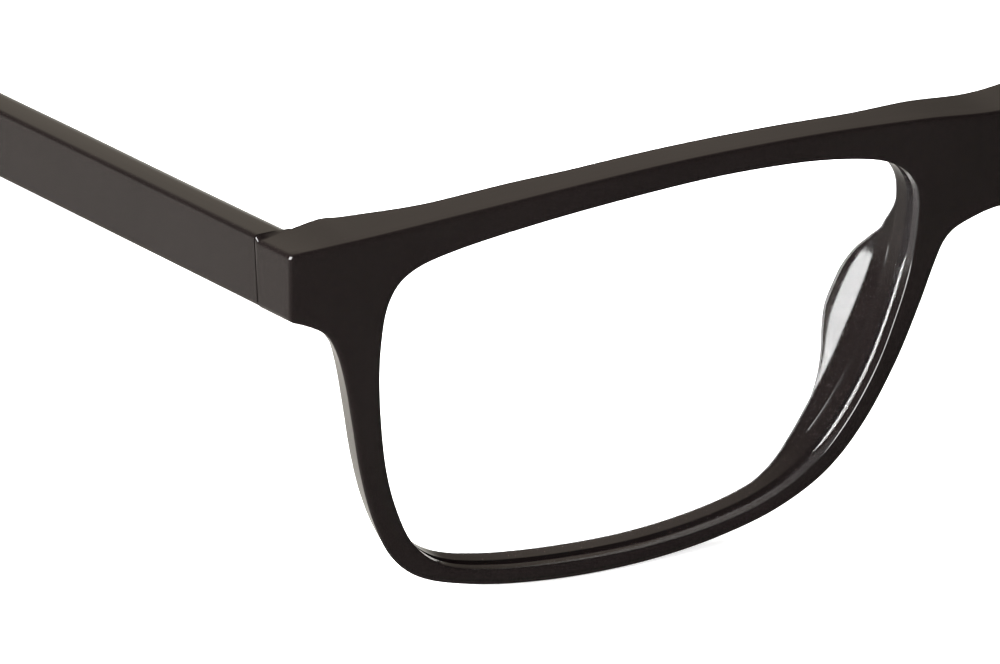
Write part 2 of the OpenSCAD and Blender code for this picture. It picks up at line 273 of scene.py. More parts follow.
def inside(points, outline):
    """Whether each point lies inside a closed outline."""
    x, y = points[:, 0], points[:, 1]
    found = np.zeros(len(points), bool)
    for (x0, y0), (x1, y1) in zip(outline, np.roll(outline, -1, axis=0)):
        crosses = (y0 > y) != (y1 > y)
        if crosses.any():
            found ^= crosses & (x < (x1 - x0) * (y - y0) / (y1 - y0 + 1e-12) + x0)
    return found


def shifted(loop, amounts):
    """A closed loop with each side moved to its right by its own amount. A side runs to the next point."""
    nxt = np.roll(loop, -1, axis=0) - loop
    nxt /= np.linalg.norm(nxt, axis=1)[:, None]
    right = np.stack([nxt[:, 1], -nxt[:, 0]], axis=1)
    before, amount_before = np.roll(right, 1, axis=0), np.roll(amounts, 1)
    det = before[:, 0] * right[:, 1] - before[:, 1] * right[:, 0]
    mean = before + right
    mean /= np.linalg.norm(mean, axis=1)[:, None]
    straight = np.abs(det) < 0.25
    safe = np.where(straight, 1, det)
    crossing = np.stack([
        (amount_before * right[:, 1] - amounts * before[:, 1]) / safe,
        (before[:, 0] * amounts - right[:, 0] * amount_before) / safe], axis=1)
    along = mean * ((amount_before + amounts) / 2)[:, None]
    return loop + np.where(straight[:, None], along, crossing)


# ---------------------------------------------------------------- meshes

class Shell:
    """Vertices and faces of a piece while it is being put together."""

    def __init__(self):
        self.points = []
        self.faces = []

    def add(self, points):
        first = len(self.points)
        self.points.extend(np.asarray(points, float).tolist())
        return np.arange(first, len(self.points))

    def strip(self, a, b, closed=True):
        """Quads between two rows of vertices."""
        last = len(a) if closed else len(a) - 1
        for i in range(last):
            j = (i + 1) % len(a)
            quad = [a[i], a[j], b[j], b[i]]
            kept = [v for k, v in enumerate(quad) if v != quad[k - 1]]
            if len(kept) > 2:
                self.faces.append(kept)

    def cap(self, flat, loops, chains, keep, spacing, place, flip):
        """Triangles over a flat region. loops and chains hold (points, vertex numbers); keep tests points."""
        points = [p for pts, _ in loops + chains for p in pts]
        numbers = [v for _, ids in loops + chains for v in ids]
        edges, first = [], 0
        for pts, _ in loops:
            edges += [(first + i, first + (i + 1) % len(pts)) for i in range(len(pts))]
            first += len(pts)
        for pts, _ in chains:
            edges += [(first + i, first + i + 1) for i in range(len(pts) - 1)]
            first += len(pts)
        low, high = flat.min(0), flat.max(0)
        xs = np.arange(low[0] + spacing / 2, high[0], spacing)
        ys = np.arange(low[1] + spacing / 2, high[1], spacing)
        grid = np.array([(x + (k % 2) * spacing / 2, y) for k, y in enumerate(ys) for x in xs])
        grid = grid[keep(grid)]
        border = np.array(points)
        near = np.array([np.min(np.sum((border - g) ** 2, axis=1)) for g in grid]) if len(grid) else []
        grid = grid[np.array(near) > (GRID_CLEAR * spacing) ** 2] if len(grid) else grid
        added = self.add(place(grid)) if len(grid) else np.array([], int)
        numbers += list(added)
        every = [Vector(p) for p in points] + [Vector(g) for g in grid]
        out, _, faces, origins, _, _ = delaunay_2d_cdt(every, edges, [], 0, 1e-7)
        back = [numbers[o[0]] if o else None for o in origins]
        made = np.array([np.mean([out[v][:] for v in f], axis=0) for f in faces])
        for f, good in zip(faces, keep(made)):
            if good and all(back[v] is not None for v in f):
                ids = [int(back[v]) for v in f]
                if len(set(ids)) == len(ids):
                    self.faces.append(ids[::-1] if flip else ids)


def add_piece(name, mesh):
    """An object for a mesh, shaded so that its large flat faces stay flat beside their rounded edges."""
    piece = bpy.data.objects.new(name, mesh)
    bpy.context.scene.collection.objects.link(piece)
    weighted = piece.modifiers.new("weighted_normals", "WEIGHTED_NORMAL")
    weighted.keep_sharp = True
    weighted.weight = 100
    return piece


def finish_mesh(name, shell, merge=1e-7, sharp=35):
    """A mesh object from a shell, with its faces turned outwards and smooth where they are round.

    Points within merge metres become one, and edges of more than sharp degrees stay sharp.
    """
    mesh = bpy.data.meshes.new(name)
    mesh.from_pydata([tuple(p) for p in shell.points], [], [[int(v) for v in f] for f in shell.faces])
    bm = bmesh.new()
    bm.from_mesh(mesh)
    bmesh.ops.remove_doubles(bm, verts=bm.verts, dist=merge)
    bmesh.ops.dissolve_degenerate(bm, edges=bm.edges, dist=merge)
    loose = [v for v in bm.verts if not v.link_faces]
    bmesh.ops.delete(bm, geom=loose, context="VERTS")
    bmesh.ops.recalc_face_normals(bm, faces=bm.faces)
    bm.to_mesh(mesh)
    bm.free()
    mesh.shade_smooth()
    mesh.set_sharp_from_angle(angle=math.radians(sharp))
    return add_piece(name, mesh)


def mirror_of(piece, name):
    """The other side's copy of a piece."""
    mesh = piece.data.copy()
    mesh.transform(Matrix.Scale(-1, 4, (1, 0, 0)))
    mesh.flip_normals()
    return add_piece(name, mesh)


# ---------------------------------------------------------------- placing the front

def thickening(x, z):
    """How much thicker than its sheet the front is: towards the end pieces, and behind the bridge."""
    x = np.abs(x)
    end = BROW_THICK * smoothstep(*BROW_RAMP, x) + END_THICK * smoothstep(*END_RAMP, x)
    end = end * smoothstep(*END_RISE, z)
    end = np.minimum(end, np.maximum(0, JOINT_Y - END_STEP - sag(x) - FRONT_T))
    low_fade, brow_fade = BRIDGE_FADE
    fade = low_fade + (brow_fade - low_fade) * smoothstep(*BRIDGE_RISE, z)
    return end + BRIDGE_THICK * (1 - smoothstep(BRIDGE_HALF, fade, x))


def place_front(flat, depth, thicken=1):
    """Row-frame points for points of the flat front at a depth behind its face.

    Depth runs square to the wrapped face, and turns level with the temples at the end pieces. thicken is the
    share of the extra thickness that a point at the back gets.
    """
    flat = np.asarray(flat, float).reshape(-1, 2)
    x, z = flat[:, 0], flat[:, 1]
    rear = np.clip((np.asarray(depth, float) - REAR_FROM) / (FRONT_T - REAR_FROM), 0, 1)
    depth = depth + thicken * rear * thickening(x, z)
    turn = np.arcsin(x / WRAP_R)
    level = smoothstep(*LEVEL_X, np.abs(x)) * smoothstep(*LEVEL_Z, z)
    across = -np.sin(turn) * (1 - level)
    back = np.cos(turn)
    rise = -math.tan(TILT) * level
    length = np.sqrt(across ** 2 + back ** 2)
    px = x + depth * across / length
    py = sag(x) + depth * back / length
    pz = z + depth * rise
    return stand(px, py * math.cos(TILT) - pz * math.sin(TILT), py * math.sin(TILT) + pz * math.cos(TILT))


# ---------------------------------------------------------------- front

def front_outline():
    """The front's flat outline, as one closed loop with rounded corners at the end pieces."""
    brow = smooth_curve(np.vstack([mirrored(BROW)[:-1], BROW]), False)
    lower = smooth_curve(np.vstack([LOWER, mirrored(LOWER)[1:]]), False)
    brow, lower = even(brow, OUTLINE_STEP, False), even(lower, OUTLINE_STEP, False)
    top, low = np.array([HALF_W, BROW_END]), np.array([HALF_W, BLOCK_LOW])
    flip = np.array([-1, 1])
    side = np.linspace(top, low, 10)[1:-1]
    return np.vstack([
        corner(low * flip, top * flip, brow[1], CORNER_R), brow[1:-1],
        corner(brow[-2], top, low, CORNER_R), side,
        corner(top, low, lower[1], CORNER_R), lower[1:-1],
        corner(lower[-2], low * flip, top * flip, CORNER_R), side[::-1] * flip])


def opening_outline():
    """The opening of the wearer's left side, as one closed loop."""
    return even(smooth_curve(OPENING, True, 24), OPENING_STEP, True)


def outline_stations(loop):
    """Offset and depth of each ring of the outer side, from the face to the back. One row a ring."""
    mid = (loop + np.roll(loop, -1, axis=0)) / 2
    x, z = np.abs(mid[:, 0]), mid[:, 1]
    endpiece = smoothstep(*ENDPIECE_X, x) * (z > ENDPIECE_LOW)
    temporal = smoothstep(*TEMPORAL_X, x) * (1 - smoothstep(*TEMPORAL_Z, z))
    draft = (LEAST_DRAFT + (SIDE_DRAFT - LEAST_DRAFT) * temporal) * (1 - endpiece)
    back_r = BACK_R * (1 - endpiece)
    rings = [(np.full(len(loop), o), d) for o, d in fillet(EDGE_R)]
    for d in (*SIDE_DEPTHS, FRONT_T - BACK_R):
        rings.append((draft * (d - EDGE_R) / (FRONT_T - EDGE_R), d))
    for o, d in fillet(1.0)[::-1][1:]:
        rings.append((draft + back_r * o, FRONT_T - BACK_R + BACK_R * (1 - d)))
    return rings


def opening_stations(loop):
    """Offset and depth of each ring of an opening's side, with the lens groove, from the face to the back."""
    flat = np.ones(len(loop))
    rings = [(flat * o, d) for o, d in fillet(LIP_R)]
    rings.append((flat * 0, GROOVE_FROM - GROOVE_LIP))
    for t in np.linspace(0, 1, 11):
        rings.append((flat * GROOVE_D * math.sin(math.pi * t), GROOVE_FROM + GROOVE_W * t))
    rings += [(flat * 0, GROOVE_FROM + GROOVE_W + GROOVE_LIP), (flat * 0, REAR_FROM)]
    return rings + [(flat * BACK_LIP_R * o, FRONT_T - BACK_LIP_R * d) for o, d in fillet(1.0)[::-1]]


def build_front():
    """The whole front: its outer side, two openings, face, back, return blocks and hinge recesses."""
    shell = Shell()
    outer = front_outline()
    left_hole = opening_outline()
    right_hole = mirrored(left_hole)
    rims = []
    for loop, stations, sign in ((outer, outline_stations(outer), 1),
                                 (left_hole, opening_stations(left_hole), -1),
                                 (right_hole, opening_stations(right_hole), -1)):
        rows = []
        for amounts, depth in stations:
            flat = shifted(loop, amounts * sign * clockwise(loop))
            rows.append((flat, shell.add(place_front(flat, depth))))
        for (_, a), (_, b) in zip(rows, rows[1:]):
            shell.strip(a, b)
        rims.append(rows)
    for end, depth, flip in ((0, 0.0, False), (-1, FRONT_T, True)):
        loops = [rows[end] for rows in rims]
        outside, holes = loops[0][0], [loop[0] for loop in loops[1:3]]
        blocks = [] if end == 0 else [return_block(shell, rims[0], side) for side in (1, -1)]
        areas = [b["region"] for b in blocks] + [b["pocket"][0] for b in blocks]
        loops = loops + [b["pocket"] for b in blocks]

        def keep(points):
            found = inside(points, outside)
            for region in holes + areas:
                found &= ~inside(points, region)
            return found

        shell.cap(outside, loops, [b["chain"] for b in blocks], keep, FRONT_GRID,
                  lambda p: place_front(p, depth), flip)
    return finish_mesh("front_body", shell)


def block_border(flat, side):
    """Numbers of the outline's points that an end piece's return block starts from, from the top down."""
    at_back = place_front(flat, FRONT_T)[:, 0] / MM * side
    order = np.flatnonzero((at_back > INNER_X) & (flat[:, 1] > BLOCK_LOW - BLOCK_SLACK))
    gap = np.flatnonzero(np.diff(order) > 1)
    if len(gap):
        order = np.concatenate([order[gap[0] + 1:], order[:gap[0] + 1]])
    return order if flat[order[0], 1] >= flat[order[-1], 1] else order[::-1]


def at_joint(shell, points, numbers, side, inset, joint_y):
    """Points of a return block's border, carried to the joint, where the block is as high as the temple."""
    z = points[:, 1]
    share = np.clip((z - BLOCK_LOW) / (BROW_END - BLOCK_LOW), 0, 1)
    share = np.where(z > BROW_END - CORNER_R, 1 - np.clip(BROW_END - z, 0, 1) / ARM_H, share)
    share = np.where(z < BLOCK_LOW + CORNER_R, np.clip(z - BLOCK_LOW, 0, 1) / ARM_H, share)
    up = ARM_TOP - ARM_H + ARM_H * share
    x = np.array([shell.points[v] for v in numbers])[:, 0] / MM * side
    middle_x, middle_z = (HALF_W + INNER_X) / 2, ARM_TOP - ARM_H / 2
    x = middle_x + (x - middle_x) * (1 - inset / (TEMPLE_T / 2))
    up = middle_z + (up - middle_z) * (1 - inset / (ARM_H / 2))
    return shell.add(stand(x * side, np.full(len(x), joint_y), up))


def return_block(shell, rows, side):
    """The part of an end piece that turns back from the front to the joint.

    Returns its region on the back of the front, the chain of points round its inner side, and the recess
    beside it.
    """
    flat, ids = rows[-1]
    order = block_border(flat, side)
    first, last = flat[order[0]], flat[order[-1]]
    elbow = np.array([first[0], last[1] - BLOCK_SINK])
    inner = np.vstack([np.linspace(first, elbow, 6)[1:-1], np.linspace(elbow, last, 5)[:-1]])
    chain_points = np.vstack([first[None], inner, last[None]])
    chain_ids = np.concatenate([[ids[order[0]]], shell.add(place_front(inner, FRONT_T)), [ids[order[-1]]]])
    outer_points, outer_ids = flat[order], ids[order]
    rows_out, rows_in = [outer_ids], [chain_ids]
    soft = 0.3 * JOINT_R
    for inset, joint_y in ((0, JOINT_Y - JOINT_R), (soft, JOINT_Y - soft), (JOINT_R, JOINT_Y)):
        made_out = at_joint(shell, outer_points, outer_ids, side, inset, joint_y)
        made_in = at_joint(shell, chain_points, chain_ids, side, inset, joint_y)
        made_in[0], made_in[-1] = made_out[0], made_out[-1]
        rows_out.append(made_out)
        rows_in.append(made_in)
    for a, b in zip(rows_out, rows_out[1:]):
        shell.strip(a, b, closed=False)
    for a, b in zip(rows_in, rows_in[1:]):
        shell.strip(b, a, closed=False)
    shell.faces.append(list(rows_out[-1]) + list(rows_in[-1][1:-1][::-1]))
    region = np.vstack([outer_points, inner[::-1]])
    return {"region": region, "chain": (chain_points, chain_ids), "pocket": hinge_pocket(shell, side)}


def hinge_pocket(shell, side):
    """The recess milled for a hinge in the thick end piece, with the hinge's leaf on its floor."""
    (x0, z0), (x1, z1) = POCKET
    corners = np.array([(x0, z0), (x0, z1), (x1, z1), (x1, z0)])
    loop = np.vstack([corner(corners[k - 1], corners[k], corners[(k + 1) % 4], POCKET_R) for k in range(4)])
    loop = even(loop, POCKET_STEP, True) * [side, 1]
    top = shell.add(place_front(loop, FRONT_T))
    soft = shifted(loop, np.full(len(loop), -POCKET_DRAFT * clockwise(loop)))
    wall = shell.add(place_front(soft, FRONT_T, POCKET_RIM))
    low = shell.add(place_front(soft, FRONT_T - POCKET_SINK, 0))
    shell.strip(top, wall)
    shell.strip(wall, low)
    shell.cap(soft, [(soft, low)], [], lambda p: inside(p, soft), POCKET_GRID,
              lambda p: place_front(p, FRONT_T - POCKET_SINK, 0), True)
    return loop, top


# ---------------------------------------------------------------- lenses

def build_lens():
    """A lens of the wearer's left side: a curved plate with a rounded bevel in the groove."""
    shell = Shell()
    opening = opening_outline()
    way = clockwise(opening)
    outline = shifted(opening, np.full(len(opening), -(GROOVE_D - LENS_CLEAR) * way))
    middle = opening.mean(0)
    reach = np.abs(opening - middle).max(0)

    def place(flat, depth):
        share = np.sum(((flat - middle) / reach) ** 2, axis=1)
        bulge = LENS_BULGE * np.clip(1 - share / BULGE_FADE, 0, 1)
        base = place_front(flat, 0)
        deep = place_front(flat, 1)
        return base + (deep - base) * (depth - bulge)[:, None]

    start, width = GROOVE_FROM + LENS_CLEAR, GROOVE_W - 2 * LENS_CLEAR
    rows = []
    for t in np.linspace(0, 1, 9):
        inset = (GROOVE_D + BEVEL_CUT) * (1 - math.sin(math.pi * t))
        flat = shifted(outline, np.full(len(outline), inset * way))
        rows.append((flat, shell.add(place_front(flat, start + width * t))))
    for (_, a), (_, b) in zip(rows, rows[1:]):
        shell.strip(a, b)
    for end, depth, flip in ((0, start, False), (-1, start + width, True)):
        flat, _ = rows[end]
        shell.cap(flat, [rows[end]], [], lambda p: inside(p, flat), LENS_GRID,
                  lambda p: place(p, np.full(len(p), depth)), flip)
    return finish_mesh("left_lens_plate", shell, sharp=30)


# ---------------------------------------------------------------- temples

BEND_L = EAR_R * EAR_ANGLE
TIP_DROP = (STAND_Z - TIP_H / 2 + (TEMPLE_Z - EAR_R * (1 - math.cos(EAR_ANGLE))) * math.cos(SLOPE)
            - (TEMPLE_Y + TEMPLE_L - BEND_L - TIP_H / 2 + EAR_R * math.sin(EAR_ANGLE)) * math.sin(SLOPE))
TIP_L = TIP_DROP / (math.sin(EAR_ANGLE + SLOPE) - math.sin(SLOPE)) + TIP_H / 2
STRAIGHT_L = TEMPLE_L - BEND_L - TIP_L


def temple_middle(s):
    """The temple's middle line in y and z, and its upward normal, at a distance s from the joint."""
    a = np.clip((s - STRAIGHT_L) / EAR_R, 0, EAR_ANGLE)
    past = np.maximum(0, s - STRAIGHT_L - BEND_L)
    y = TEMPLE_Y + np.minimum(s, STRAIGHT_L) + EAR_R * np.sin(a) + past * np.cos(a)
    z = TEMPLE_Z - EAR_R * (1 - np.cos(a)) - past * np.sin(a)
    z = z + ARM_RISE * (1 - smoothstep(RISE_FADE_FROM, STRAIGHT_L, s))
    return np.stack([y, z], axis=1), np.stack([np.sin(a), np.cos(a)], axis=1)


def temple_half_height(s):
    """Half the temple's height at a distance s from the joint: it swells, then ends in a half circle."""
    u = np.clip((s - STRAIGHT_L / 2) / (TEMPLE_L - TIP_H / 2 - STRAIGHT_L / 2), 0, 1)
    swell = ARM_H / 2 + (TIP_H - ARM_H) / 2 * (3 * u ** 2 - 2 * u ** 3)
    past = np.clip((s - TEMPLE_L + TIP_H / 2) / (TIP_H / 2), 0, 1)
    return swell * np.sqrt(1 - past ** 2)


def temple_outline():
    """The temple's side view in y and z, as one closed loop."""
    round_from = TEMPLE_L - TIP_H / 2
    run = np.concatenate([
        np.arange(0, STRAIGHT_L, TEMPLE_GRID), np.linspace(STRAIGHT_L, STRAIGHT_L + BEND_L, 22),
        np.arange(STRAIGHT_L + BEND_L + TIP_STEP, round_from - TIP_STEP / 2, TIP_STEP),
        round_from + TIP_H / 2 * np.sin(np.linspace(0, math.pi / 2, 20))])
    middle, up = temple_middle(run)
    half = temple_half_height(run)[:, None]
    end_face = np.linspace(-END_FACE, END_FACE, 5)[:, None] * [[0, ARM_H / 2]] + middle[0]
    return np.vstack([middle + half * up, (middle - half * up)[::-1][1:], end_face])


def build_temple():
    """A temple of the wearer's left side: its side view carried through its thickness, edges rounded."""
    shell = Shell()
    loop = temple_outline()
    mid = (loop + np.roll(loop, -1, axis=0)) / 2
    joint_side = mid[:, 0] < TEMPLE_Y + 0.01

    def place(flat, depth):
        """depth is a share of the thickness, from the outer side to the inner."""
        back = np.maximum(0, flat[:, 0] - TEMPLE_Y)
        bow = TEMPLE_BOW * (np.maximum(0, back - BOW_START) / (TEMPLE_L - BOW_START)) ** 2
        thick = TEMPLE_T + (TIP_T - TEMPLE_T) * back / TEMPLE_L - LEAF_PROUD
        return stand(HALF_W - bow - thick * depth, flat[:, 0], flat[:, 1])

    outer_r = np.where(joint_side, JOINT_R, CORNER_R)
    back = smoothstep(TEMPLE_Y, TEMPLE_Y + CROWN_L, mid[:, 0])
    crown = CROWN_W[0] + (CROWN_W[1] - CROWN_W[0]) * back
    drop = np.where(joint_side, JOINT_R, CROWN_DROP[0] + (CROWN_DROP[1] - CROWN_DROP[0]) * back)
    rings = [(outer_r * o, CORNER_R * d / TEMPLE_T) for o, d in fillet(1.0, 6)]
    rings.append((outer_r * 0, TOP_FLAT))
    rings += [(drop * o, 1 - crown * d / TEMPLE_T) for o, d in fillet(1.0, 9)[::-1]]
    rows = []
    for amounts, depth in rings:
        flat = shifted(loop, amounts * clockwise(loop))
        rows.append((flat, shell.add(place(flat, depth))))
    for (_, a), (_, b) in zip(rows, rows[1:]):
        shell.strip(a, b)
    for end, depth, flip in ((0, 0.0, False), (-1, 1.0, True)):
        flat, _ = rows[end]
        shell.cap(flat, [rows[end]], [], lambda p: inside(p, flat), TEMPLE_GRID,
                  lambda p: place(p, depth), flip)
    return finish_mesh("left_temple_arm_body", shell)


# ---------------------------------------------------------------- nose pads

PAD_START = (9.0, -0.6)   # places on the opening's outline where the pad's root starts and ends
PAD_END = (24.0, -27.1)
# (height, depth) of the root, then of the bright facet behind it
ROOT_DEPTH = [(0.6, -0.5), (-2, -0.4), (-3.2, -0.2), (-4.2, 0.25), (-5.2, 0.8), (-6.5, 1.3),
              (-8.5, 1.5), (-12, 1.75), (-15.4, 2.0), (-19, 1.9), (-21.6, 1.65), (-24, 1.0),
              (-25.8, 0.1), (-27.1, -0.45)]
WING_DEPTH = [(-6, 0), (-7.4, 0.55), (-8.7, 1.0), (-10.5, 1.35), (-12.3, 1.45), (-14.2, 1.42),
              (-16, 1.1), (-17.8, 0.62), (-19.4, 0.25), (-21, 0)]
WING_FULL = 1.45          # depth of that facet where it is deepest
ROOT_SPLAY = math.radians(9)
WING_SPLAY = math.radians(33)
EDGE_SPLAY = math.radians(-10)
EDGE_L = 1.7              # length of the wing's narrow rear band, where the wing is deepest
PAD_W = 2.4               # width of the pad at its root: that of the rim in front of it
PAD_SINK = 0.9            # how far the pad reaches into the front, where the two are glued
PAD_COVER = 0.225         # how far its skin covers the rim's side in front of its root
PAD_SKIN_END = 0.05       # the skin ends this far before the crease at the root's end
PAD_SKIN = 0.012          # how far that skin stands off the rim's side
PAD_LEAST = 0.35          # share of its width that the pad keeps where its root is flush with the rim
PAD_FULL = 1.1            # root depth from which it has its full width
PAD_EDGE_R = 0.25         # rounding of the pad's rear edge
WING_EDGE_R = 0.4         # what the full wing adds to it
EDGE_TURN = math.radians(125)   # where on its circle that rounding ends
EDGE_LEAN_RATE = 3        # it starts at the wing's rear band once the wing is 1 / this of its full depth
PAD_TUCK = 0.3            # how far the buried edges lie inside the pad's sides
PAD_FOOT = 0.12           # how far the inner side reaches into the front
PAD_SWELL = (-0.21, 0.28)   # fullness of the inner side, where the wing is deepest


def height_curve(points, z):
    """A depth read off a smooth curve through (height, depth) points."""
    curve = smooth_curve(points, False, 10)
    curve = curve[np.argsort(curve[:, 0])]
    return float(np.interp(z, curve[:, 0], curve[:, 1], left=curve[0, 1], right=curve[-1, 1]))


def pad_section(z):
    """Offsets towards the opening and depths behind the front, round the pad at one place on the rim."""
    root = height_curve(ROOT_DEPTH, z)
    wing = max(0.0, height_curve(WING_DEPTH, z))
    share = wing / WING_FULL
    band = EDGE_L * share
    soft = PAD_EDGE_R + WING_EDGE_R * share
    width = PAD_W * min(1.0, PAD_LEAST + (1 - PAD_LEAST) * max(0.0, root) / PAD_FULL)
    crease = np.array([root * math.tan(ROOT_SPLAY) + PAD_SKIN, root])
    ridge = crease + wing * np.array([math.tan(WING_SPLAY), 1])
    rear = ridge + band * np.array([math.tan(EDGE_SPLAY), 1])
    start = np.array([-PAD_TUCK, -PAD_SINK])
    cover = np.array([PAD_SKIN, min(0.0, root) - PAD_COVER])
    wall = np.array([PAD_SKIN, min(0.0, root - PAD_SKIN_END)])
    straight = [(cover, wall, 3), (wall, crease, 5), (crease, ridge, 6), (ridge, rear, 4)]
    points = [start]
    for p0, p1, steps in straight:
        points += [p0 + (p1 - p0) * t for t in np.linspace(0, 1, steps, endpoint=False)]
    lean = ROOT_SPLAY + (EDGE_SPLAY - ROOT_SPLAY) * min(1, share * EDGE_LEAN_RATE)
    centre = rear + soft * np.array([-math.cos(lean), math.sin(lean)])
    turns = np.linspace(-lean, EDGE_TURN, 9)
    points += [centre + soft * np.array([math.cos(a), math.sin(a)]) for a in turns]
    last, foot = points[-1], np.array([-width, -PAD_FOOT])
    swell = share * np.array(PAD_SWELL)
    for t in np.linspace(0, 1, 9)[1:]:
        points.append(last + (foot - last) * t + swell * math.sin(math.pi * t))
    points.append(np.array([PAD_TUCK - width, -PAD_SINK]))
    return np.array(points)


def stretch(start, end, count):
    """Numbers of a closed loop's points from one to another, in its order."""
    return [k % count for k in range(start, end + (count if end < start else 0) + 1)]


def build_pad():
    """The pad glued behind the left rim's nasal side: a low root along the rim, and a splayed wing."""
    opening = even(smooth_curve(OPENING, True, 24), PAD_STEP, True)
    first = int(np.argmin(np.sum((opening - PAD_START) ** 2, axis=1)))
    last = int(np.argmin(np.sum((opening - PAD_END) ** 2, axis=1)))
    run = stretch(last, first, len(opening))
    if len(run) > len(opening) / 2:
        run = stretch(first, last, len(opening))
    shell = Shell()
    rows = []
    for k in run:
        ahead = opening[(k + 1) % len(opening)] - opening[k - 1]
        ahead /= np.linalg.norm(ahead)
        towards = np.array([-ahead[1], ahead[0]])
        towards *= np.sign(np.dot(opening.mean(0) - opening[k], towards))
        section = pad_section(opening[k, 1])
        flat = opening[k] + section[:, :1] * towards
        face, deeper = place_front(flat, 0), place_front(flat, 1)
        rows.append(shell.add(face + (deeper - face) * (FRONT_T + section[:, 1:])))
    for a, b in zip(rows, rows[1:]):
        shell.strip(a, b)
    shell.faces.append(list(rows[0]))
    shell.faces.append(list(rows[-1])[::-1])
    return finish_mesh("left_pad_body", shell, sharp=11)


# ---------------------------------------------------------------- materials

def new_material(name):
    """A new material, with its nodes, its links and its shader."""
    material = bpy.data.materials.new(name)
    material.use_nodes = True
    nodes, links = material.node_tree.nodes, material.node_tree.links
    return material, nodes, links, nodes["Principled BSDF"]


def acetate(name, roughness=0.09):
    """Tumble-polished black cellulose acetate: near black, glossy, with a faint waviness and haze."""
    material, nodes, links, shader = new_material(name)
    coords = nodes.new("ShaderNodeTexCoord")
    cloud = nodes.new("ShaderNodeTexNoise")
    cloud.inputs["Scale"].default_value = 90
    cloud.inputs["Detail"].default_value = 3
    tint = nodes.new("ShaderNodeValToRGB")
    tint.color_ramp.elements[0].color = (0.0035, 0.0027, 0.0026, 1)
    tint.color_ramp.elements[1].color = (0.0052, 0.0040, 0.0038, 1)
    haze = nodes.new("ShaderNodeTexNoise")
    haze.inputs["Scale"].default_value = 260
    haze.inputs["Detail"].default_value = 5
    haze_range = nodes.new("ShaderNodeMapRange")
    haze_range.inputs["To Min"].default_value = roughness * 0.9
    haze_range.inputs["To Max"].default_value = roughness * 1.1
    wave = nodes.new("ShaderNodeTexNoise")
    wave.inputs["Scale"].default_value = 160
    wave.inputs["Detail"].default_value = 1
    bump = nodes.new("ShaderNodeBump")
    bump.inputs["Strength"].default_value = 0.007
    bump.inputs["Distance"].default_value = 0.0002
    for node in (cloud, haze, wave):
        links.new(coords.outputs["Object"], node.inputs["Vector"])
    links.new(cloud.outputs["Fac"], tint.inputs["Fac"])
    links.new(tint.outputs["Color"], shader.inputs["Base Color"])
    links.new(haze.outputs["Fac"], haze_range.inputs["Value"])
    links.new(haze_range.outputs["Result"], shader.inputs["Roughness"])
    links.new(wave.outputs["Fac"], bump.inputs["Height"])
    links.new(bump.outputs["Normal"], shader.inputs["Normal"])
    shader.inputs["IOR"].default_value = 1.47
    return material


def clear_lens():
    """A coated clear lens: nearly invisible, with a faint reflection."""
    material, nodes, links, shader = new_material("clear_lens")
    coords = nodes.new("ShaderNodeTexCoord")
    smear = nodes.new("ShaderNodeTexNoise")
    smear.inputs["Scale"].default_value = 60
    smear_range = nodes.new("ShaderNodeMapRange")
    smear_range.inputs["To Min"].default_value = 0.01
    smear_range.inputs["To Max"].default_value = 0.03
    links.new(coords.outputs["Object"], smear.inputs["Vector"])
    links.new(smear.outputs["Fac"], smear_range.inputs["Value"])
    links.new(smear_range.outputs["Result"], shader.inputs["Roughness"])
    shader.inputs["Base Color"].default_value = (1, 1, 1, 1)
    shader.inputs["Alpha"].default_value = 0.1
    shader.inputs["Transmission Weight"].default_value = 1
    shader.inputs["IOR"].default_value = 1.03
    shader.inputs["Coat Weight"].default_value = 1
    shader.inputs["Coat Roughness"].default_value = 0.02
    return material


def plated_metal(name, colour, roughness, scale):
    """Plated metal with a fine machined grain."""
    material, nodes, links, shader = new_material(name)
    coords = nodes.new("ShaderNodeTexCoord")
    stretch = nodes.new("ShaderNodeMapping")
    stretch.inputs["Scale"].default_value = (1, 1, 12)
    grain = nodes.new("ShaderNodeTexNoise")
    grain.inputs["Scale"].default_value = scale
    grain.inputs["Detail"].default_value = 4
    rough = nodes.new("ShaderNodeMapRange")
    rough.inputs["To Min"].default_value = roughness * 0.7
    rough.inputs["To Max"].default_value = roughness * 1.4
    bump = nodes.new("ShaderNodeBump")
    bump.inputs["Strength"].default_value = 0.15
    bump.inputs["Distance"].default_value = 0.00005
    links.new(coords.outputs["Object"], stretch.inputs["Vector"])
    links.new(stretch.outputs["Vector"], grain.inputs["Vector"])
    links.new(grain.outputs["Fac"], rough.inputs["Value"])
    links.new(rough.outputs["Result"], shader.inputs["Roughness"])
    links.new(grain.outputs["Fac"], bump.inputs["Height"])
    links.new(bump.outputs["Normal"], shader.inputs["Normal"])
    shader.inputs["Base Color"].default_value = (*colour, 1)
    shader.inputs["Metallic"].default_value = 1
    return material


def paint(piece, material):
    """Give a piece one material."""
    piece.data.materials.clear()
    piece.data.materials.append(material)


def paint_node(node, material):
    """Give a CAD piece that stays in view one material."""
    piece = frame["nodes"][node]
    if not piece.material_slots:
        piece.data.materials.append(material)
    for material_slot in piece.material_slots:
        material_slot.material = material


def soften_edges(node):
    """Round the edges of a CAD piece that stays in view."""
    bevel = frame["nodes"][node].modifiers.new("soft_edges", "BEVEL")
    bevel.width = METAL_EDGE_R * MM
    bevel.segments = 2
    bevel.limit_method = "ANGLE"
    bevel.angle_limit = math.radians(40)


# ---------------------------------------------------------------- the object

front_acetate = acetate("front_acetate")
temple_acetate = acetate("temple_acetate")
pad_acetate = acetate("pad_acetate", 0.07)
lens_clear = clear_lens()
hinge_nickel = plated_metal("hinge_nickel", (0.62, 0.6, 0.57), 0.28, 900)
screw_steel = plated_metal("screw_steel", (0.66, 0.65, 0.63), 0.18, 1500)
wire_steel = plated_metal("wire_steel", (0.5, 0.49, 0.47), 0.3, 700)

